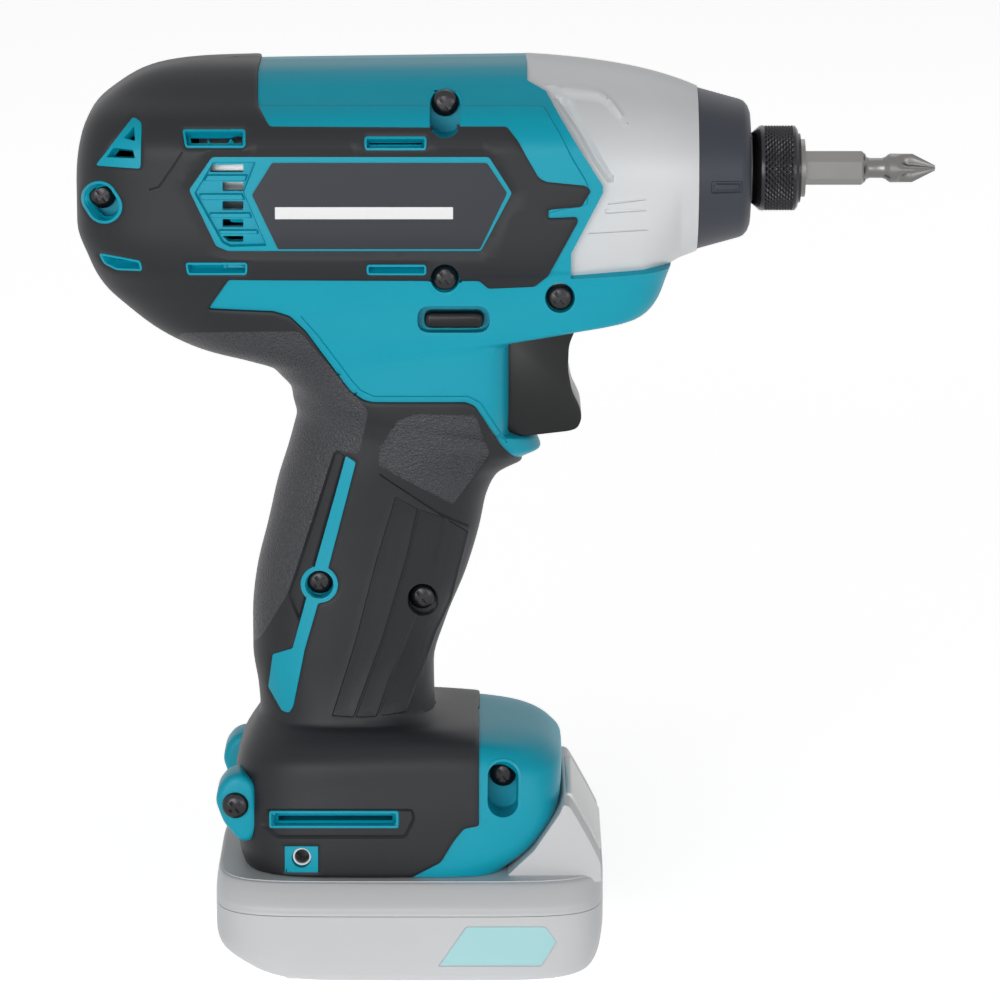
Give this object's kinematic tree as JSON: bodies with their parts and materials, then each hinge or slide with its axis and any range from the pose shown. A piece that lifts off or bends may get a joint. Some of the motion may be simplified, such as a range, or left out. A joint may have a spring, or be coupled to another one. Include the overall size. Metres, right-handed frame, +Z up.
{
  "type": "impact driver",
  "caption": "Pistol-grip cordless impact driver with rubber overmould, hammer mechanism, quick-change hex chuck with cross-point bit, trigger and slide-on battery pack.",
  "frame": {"origin": "on the plane that the pack stands on, under the middle of the battery pack", "axes": "+X along the drive axis towards the bit, +Z up along the handle, +Y to the tool's left side"},
  "size_m": [0.1845, 0.0668, 0.1983],
  "materials": {
    "teal_plastic": "moulded, fine texture",
    "dark_rubber": "moulded over, matt",
    "plate_grey": "satin plate",
    "silver_paint": "silver paint on die-cast alloy",
    "steel": "ground or drawn",
    "black_steel": "blackened",
    "bronze": "bright",
    "washer_white": "plain",
    "magnet_grey": "sintered",
    "copper": "wound and turned",
    "black_plastic": "moulded, smooth",
    "lamp_clear": "clear",
    "pack_grey": "moulded, satin",
    "cell_wrap": "shrink wrap",
    "pale_teal": "printed film, no words"
  },
  "bodies": {
    "tool_body": {"housing_right": "teal_plastic", "housing_left": "teal_plastic", "grip_right": "dark_rubber", "grip_left": "dark_rubber", "plate_right": "plate_grey", "plate_left": "plate_grey", "hammer_case": "silver_paint", "nose_bumper": "dark_rubber", "thrust_washer": "washer_white", "front_bush": "bronze", "ring_gear": "steel", "bearing_box": "steel", "spindle_bearing": "steel", "front_bearing": "steel", "rear_bearing": "steel", "motor_yoke": "steel", "magnets": "magnet_grey", "brush_holder": "black_plastic", "brushes": "magnet_grey", "trigger_spring": "steel", "switch_body": "black_plastic", "lamp": "lamp_clear", "lamp_lens": "lamp_clear", "terminal_block": "black_plastic", "terminals": "bronze", "hook_nuts": "bronze", "housing_screws": "black_steel"},
    "armature": {"motor_shaft": "steel", "armature_core": "copper", "commutator": "copper", "cooling_fan": "black_plastic"},
    "spindle": {"cam_spindle": "steel", "cam_balls": "steel", "planet_pins": "steel", "hammer_spring": "steel"},
    "planet_upper": {"planet_upper": "steel"},
    "planet_lower": {"planet_lower": "steel"},
    "hammer": {"hammer": "steel"},
    "anvil": {"anvil": "steel", "driver_bit": "steel", "lock_balls": "steel", "clip_ring": "steel", "sleeve_spring": "steel"},
    "sleeve": {"bit_sleeve": "black_steel"},
    "trigger": {"trigger": "black_plastic"},
    "direction_bar": {"direction_bar": "black_plastic"},
    "pack": {"pack_case": "pack_grey", "pack_cover": "pack_grey", "pack_screws": "black_steel", "pack_contacts": "bronze", "cells": "cell_wrap", "pack_marks": "pale_teal", "release_spring": "steel"},
    "release_button": {"release_button": "pack_grey"}
  },
  "joints": [
    {"name": "spindle_spin", "type": "hinge", "parent": "tool_body", "child": "spindle", "pos_m": [0, 0, 0.1735], "axis": [1, 0, 0], "continuous": true},
    {"name": "armature_spin", "type": "hinge", "parent": "tool_body", "child": "armature", "pos_m": [0, 0, 0.1735], "axis": [1, 0, 0], "continuous": true},
    {"name": "planet_upper_spin", "type": "hinge", "parent": "spindle", "child": "planet_upper", "pos_m": [0, 0, 0.1833], "axis": [1, 0, 0], "continuous": true},
    {"name": "planet_lower_spin", "type": "hinge", "parent": "spindle", "child": "planet_lower", "pos_m": [0, 0, 0.1637], "axis": [1, 0, 0], "continuous": true},
    {"name": "hammer_slide", "type": "slide", "parent": "spindle", "child": "hammer", "axis": [-1, 0, 0], "range_m": [0, 0.006], "stiffness_N_per_m": 6000, "deforming": ["hammer_spring"]},
    {"name": "anvil_spin", "type": "hinge", "parent": "tool_body", "child": "anvil", "pos_m": [0, 0, 0.1735], "axis": [1, 0, 0], "continuous": true},
    {"name": "sleeve_slide", "type": "slide", "parent": "anvil", "child": "sleeve", "axis": [1, 0, 0], "range_m": [0, 0.003], "stiffness_N_per_m": 900, "deforming": ["sleeve_spring"]},
    {"name": "trigger_pull", "type": "slide", "parent": "tool_body", "child": "trigger", "axis": [-1, 0, 0], "range_m": [0, 0.006], "stiffness_N_per_m": 900, "deforming": ["trigger_spring"]},
    {"name": "direction_slide", "type": "slide", "parent": "tool_body", "child": "direction_bar", "axis": [0, 1, 0], "range_m": [-0.003, 0.003]},
    {"name": "pack_slide", "type": "slide", "parent": "tool_body", "child": "pack", "axis": [1, 0, 0], "range_m": [0, 0.072]},
    {"name": "button_press", "type": "slide", "parent": "pack", "child": "release_button", "axis": [0, 0, -1], "range_m": [0, 0.003], "stiffness_N_per_m": 800, "deforming": ["release_spring"]}
  ],
  "couplings": [
    {"joint": "armature_spin", "follows": "spindle_spin", "ratio": 6.2222},
    {"joint": "planet_upper_spin", "follows": "spindle_spin", "ratio": -2.4737},
    {"joint": "planet_lower_spin", "follows": "spindle_spin", "ratio": -2.4737},
    {"joint": "anvil_spin", "follows": "spindle_spin", "ratio": 1}
  ]
}
